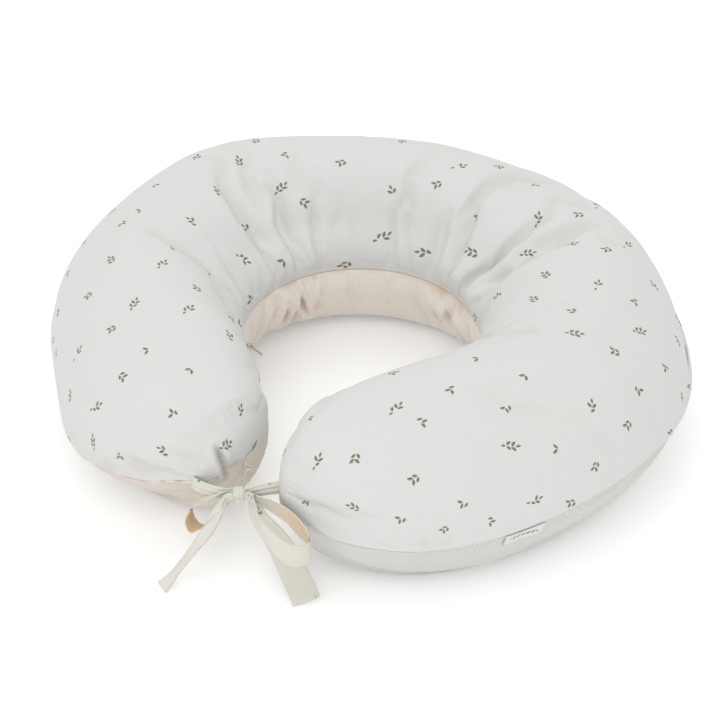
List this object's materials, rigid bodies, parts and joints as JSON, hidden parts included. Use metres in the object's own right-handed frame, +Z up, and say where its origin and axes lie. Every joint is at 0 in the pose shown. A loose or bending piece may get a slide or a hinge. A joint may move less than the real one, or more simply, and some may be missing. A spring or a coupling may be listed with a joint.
{
  "type": "nursing pillow",
  "caption": "C-shaped stuffed nursing pillow in a zipped two-fabric cover, its tips held together by fabric ties in a bow.",
  "frame": {"origin": "middle of the footprint, at the level of the surface the pillow rests on", "axes": "+X from the left arm to the right arm, +Y from the tied tips to the back of the pillow, +Z up"},
  "size_m": [0.6435, 0.6301, 0.1802],
  "materials": {
    "printed_cotton": "off-white cotton with sparse olive leaf sprigs",
    "pinstripe_muslin": "pale pink-beige cotton with a fine pinstripe",
    "label_satin": "soft woven satin, blank",
    "zip_tape": "woven polyester tape",
    "zip_coil": "nylon coil",
    "zip_metal": "dull grey die-cast metal",
    "case_cotton": "plain white cotton",
    "fibre": "polyester fibre filling"
  },
  "bodies": {
    "root": {"cover_top_panel": "printed_cotton", "cover_bottom_panel": "pinstripe_muslin", "tie_left": "printed_cotton", "tie_right": "printed_cotton", "side_label": "label_satin", "care_label": "label_satin", "zip_tape_upper": "zip_tape", "zip_tape_lower": "zip_tape", "zip_coil_upper": "zip_coil", "zip_coil_lower": "zip_coil", "zip_top_stop_upper": "zip_metal", "zip_top_stop_lower": "zip_metal", "zip_bottom_stop": "zip_metal", "inner_case_top": "case_cotton", "inner_case_bottom": "case_cotton", "fibre_fill": "fibre"},
    "slider": {"zip_slider": "zip_metal"},
    "pull_ring": {"zip_pull_ring": "zip_metal"},
    "pull_tab": {"zip_pull_tab": "zip_metal"}
  },
  "joints": [
    {"name": "zip_travel", "type": "hinge", "parent": "root", "child": "slider", "pos_m": [0, 0.009, 0.094], "axis": [0, 0, -1], "range_deg": [0, 172]},
    {"name": "ring_swing", "type": "hinge", "parent": "slider", "child": "pull_ring", "pos_m": [-0.09549, -0.05067, 0.094], "axis": [0, 0, 1], "range_deg": [-60, 60]},
    {"name": "tab_swing", "type": "hinge", "parent": "pull_ring", "child": "pull_tab", "pos_m": [-0.09329, -0.04929, 0.094], "axis": [-0.5299, 0.848, 0], "range_deg": [-97, 38]}
  ]
}
